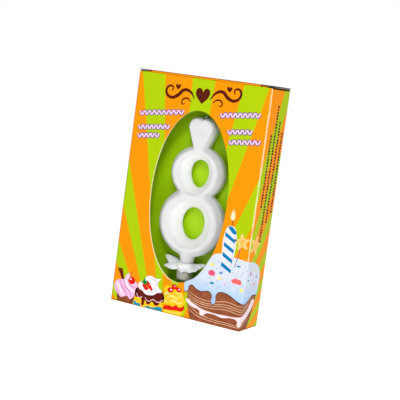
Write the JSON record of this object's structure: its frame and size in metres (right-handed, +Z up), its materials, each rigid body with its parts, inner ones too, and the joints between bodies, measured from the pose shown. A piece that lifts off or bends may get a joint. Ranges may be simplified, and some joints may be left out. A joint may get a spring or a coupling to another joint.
{
  "type": "number birthday candle in a window carton",
  "caption": "Figure-eight wax cake candle with a heart top, on a flower-collared pick, standing in a windowed tuck-top carton with a folded card platform.",
  "frame": {"origin": "centre of the carton's base, on the surface it stands on", "axes": "+Z up, the carton's window faces -Y, +X to the right of a person who looks at the window"},
  "size_m": [0.078, 0.022, 0.125],
  "materials": {
    "printed_board": "satin-coated printed boxboard, orange and lime stripes",
    "bare_board": "uncoated grey-white inside of boxboard",
    "green_card": "smooth lime-green card",
    "wax": "satin white wax",
    "wick_cotton": "waxed braided cotton",
    "collar_plastic": "translucent white moulded plastic",
    "clear_plastic": "clear, slightly smoky moulded plastic"
  },
  "bodies": {
    "carton": {"front_panel": "printed_board", "back_panel": "printed_board", "left_side_panel": "printed_board", "right_side_panel": "printed_board", "glue_flap": "bare_board", "bottom_outer_flap": "printed_board", "bottom_inner_flap": "bare_board", "bottom_dust_flap_left": "bare_board", "bottom_dust_flap_right": "bare_board", "platform_card": "green_card", "platform_left_flange": "green_card", "platform_right_flange": "green_card", "platform_shelf": "green_card", "shelf_leg": "green_card"},
    "lid": {"top_lid": "printed_board"},
    "tongue": {"tuck_tongue": "printed_board"},
    "flap_left": {"top_dust_flap_left": "bare_board"},
    "flap_right": {"top_dust_flap_right": "bare_board"},
    "pick": {"pick_holder": "clear_plastic", "flower_collar": "collar_plastic"},
    "candle": {"numeral_wax": "wax", "wick": "wick_cotton"}
  },
  "joints": [
    {"name": "lid_hinge", "type": "hinge", "parent": "carton", "child": "lid", "pos_m": [0, 0.011, 0.12455], "axis": [-1, 0, 0], "range_deg": [0, 150]},
    {"name": "tongue_fold", "type": "hinge", "parent": "lid", "child": "tongue", "pos_m": [0, -0.00915, 0.12455], "axis": [1, 0, 0], "range_deg": [0, 75]},
    {"name": "left_flap_hinge", "type": "hinge", "parent": "carton", "child": "flap_left", "pos_m": [-0.039, 0, 0.124], "axis": [0, -1, 0], "range_deg": [0, 60]},
    {"name": "right_flap_hinge", "type": "hinge", "parent": "carton", "child": "flap_right", "pos_m": [0.039, 0, 0.124], "axis": [0, 1, 0], "range_deg": [0, 60]},
    {"name": "pick_lift", "type": "slide", "parent": "carton", "child": "pick", "axis": [0, 0, 1], "range_m": [0, 0.009]},
    {"name": "candle_pull", "type": "slide", "parent": "pick", "child": "candle", "axis": [0, 0, 1], "range_m": [0, 0.008]}
  ],
  "couplings": [
    {"joint": "tongue_fold", "follows": "lid_hinge", "ratio": 0.5},
    {"joint": "left_flap_hinge", "follows": "lid_hinge", "ratio": 0.4},
    {"joint": "right_flap_hinge", "follows": "lid_hinge", "ratio": 0.4}
  ]
}
